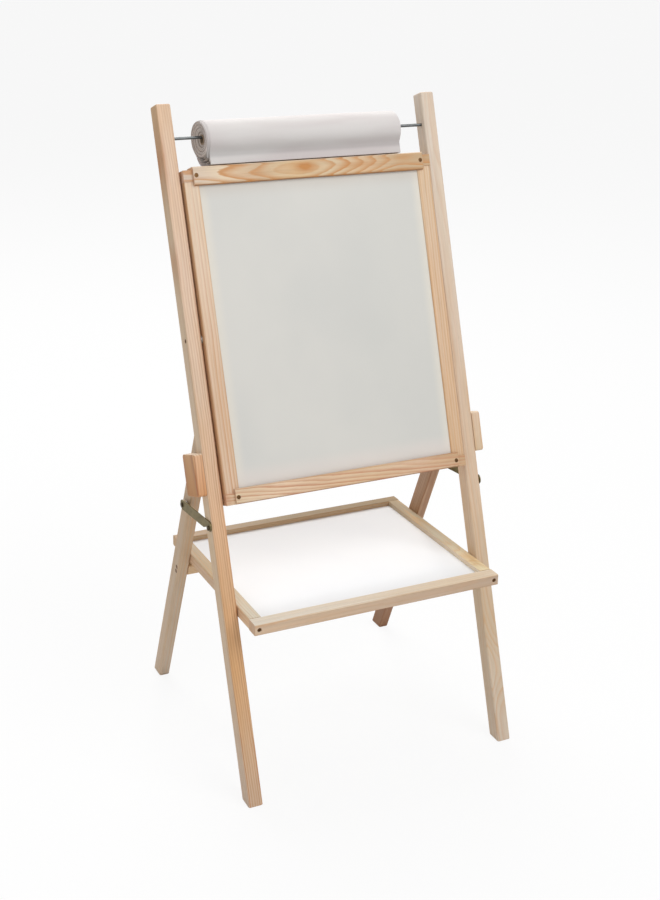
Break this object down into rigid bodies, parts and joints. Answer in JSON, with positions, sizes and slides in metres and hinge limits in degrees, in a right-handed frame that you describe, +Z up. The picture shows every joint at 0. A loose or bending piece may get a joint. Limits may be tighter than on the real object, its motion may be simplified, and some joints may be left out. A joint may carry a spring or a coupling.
{
  "type": "folding drawing easel",
  "caption": "Wooden folding easel with a framed dry-wipe board, a paper roll on a steel rod above it and a lift-up tray between the splayed legs.",
  "frame": {"origin": "on the floor, at the centre of the easel's bounding box in plan", "axes": "+X to the right of a person facing the board, +Y to the back, +Z up"},
  "size_m": [0.509, 0.4656, 1.0271],
  "materials": {
    "pine": "clear satin lacquer on planed pine",
    "dark_pine": "clear satin lacquer on darker pine",
    "dowel_wood": "plain beech",
    "whiteboard": "dry-wipe melamine face on hardboard",
    "tray_white": "white melamine face on hardboard",
    "screw_brass": "dull brassed screws",
    "zinc_steel": "zinc plated",
    "stay_steel": "dull zinc plated strip",
    "rod_steel": "bright drawn rod",
    "drawing_paper": "uncoated drawing paper",
    "core_board": "spiral-wound core board"
  },
  "bodies": {
    "front_frame": {"left_upright": "pine", "right_upright": "pine", "board_top_rail": "pine", "board_bottom_rail": "pine", "board_left_stile": "pine", "board_right_stile": "pine", "board_panel": "whiteboard", "board_corner_screws": "screw_brass", "frame_dowels": "dowel_wood", "frame_side_screws": "screw_brass", "frame_washers": "zinc_steel", "left_cheek_block": "dark_pine", "right_cheek_block": "dark_pine", "cheek_screws": "zinc_steel", "left_pivot_bolt": "zinc_steel", "right_pivot_bolt": "zinc_steel", "left_pivot_sleeve": "zinc_steel", "right_pivot_sleeve": "zinc_steel", "pivot_plugs": "dowel_wood", "pivot_spacers": "zinc_steel", "stay_studs": "zinc_steel", "paper_wrap": "drawing_paper"},
    "rear_frame": {"left_rear_leg": "pine", "right_rear_leg": "pine", "rear_crossbar": "pine", "crossbar_screws": "zinc_steel", "stay_screws": "zinc_steel", "stay_spacers": "zinc_steel"},
    "left_stay": {"left_stay": "stay_steel"},
    "right_stay": {"right_stay": "stay_steel"},
    "tray": {"tray_front_rail": "pine", "tray_rear_rail": "pine", "tray_left_rail": "pine", "tray_right_rail": "pine", "tray_panel": "tray_white", "tray_screws": "screw_brass", "tray_pins": "zinc_steel"},
    "paper_rod": {"paper_rod": "rod_steel"},
    "paper_roll": {"paper_roll": "drawing_paper", "paper_core": "core_board"}
  },
  "joints": [
    {"name": "rear_fold", "type": "hinge", "parent": "front_frame", "child": "rear_frame", "pos_m": [0, -0.00835, 0.50699], "axis": [-1, 0, 0], "range_deg": [0, 42.5]},
    {"name": "left_stay_lift", "type": "hinge", "parent": "rear_frame", "child": "left_stay", "pos_m": [-0.2389, 0.04042, 0.40657], "axis": [-1, 0, 0], "range_deg": [0, 11]},
    {"name": "right_stay_lift", "type": "hinge", "parent": "rear_frame", "child": "right_stay", "pos_m": [0.2389, 0.04042, 0.40657], "axis": [-1, 0, 0], "range_deg": [0, 11]},
    {"name": "tray_fold", "type": "hinge", "parent": "front_frame", "child": "tray", "pos_m": [0, -0.11685, 0.28954], "axis": [1, 0, 0], "range_deg": [0, 67]},
    {"name": "rod_slide", "type": "slide", "parent": "front_frame", "child": "paper_rod", "axis": [1, 0, 0], "range_m": [0, 0.44]},
    {"name": "roll_spin", "type": "hinge", "parent": "front_frame", "child": "paper_roll", "pos_m": [0, 0.1221, 0.97226], "axis": [1, 0, 0], "continuous": true}
  ]
}
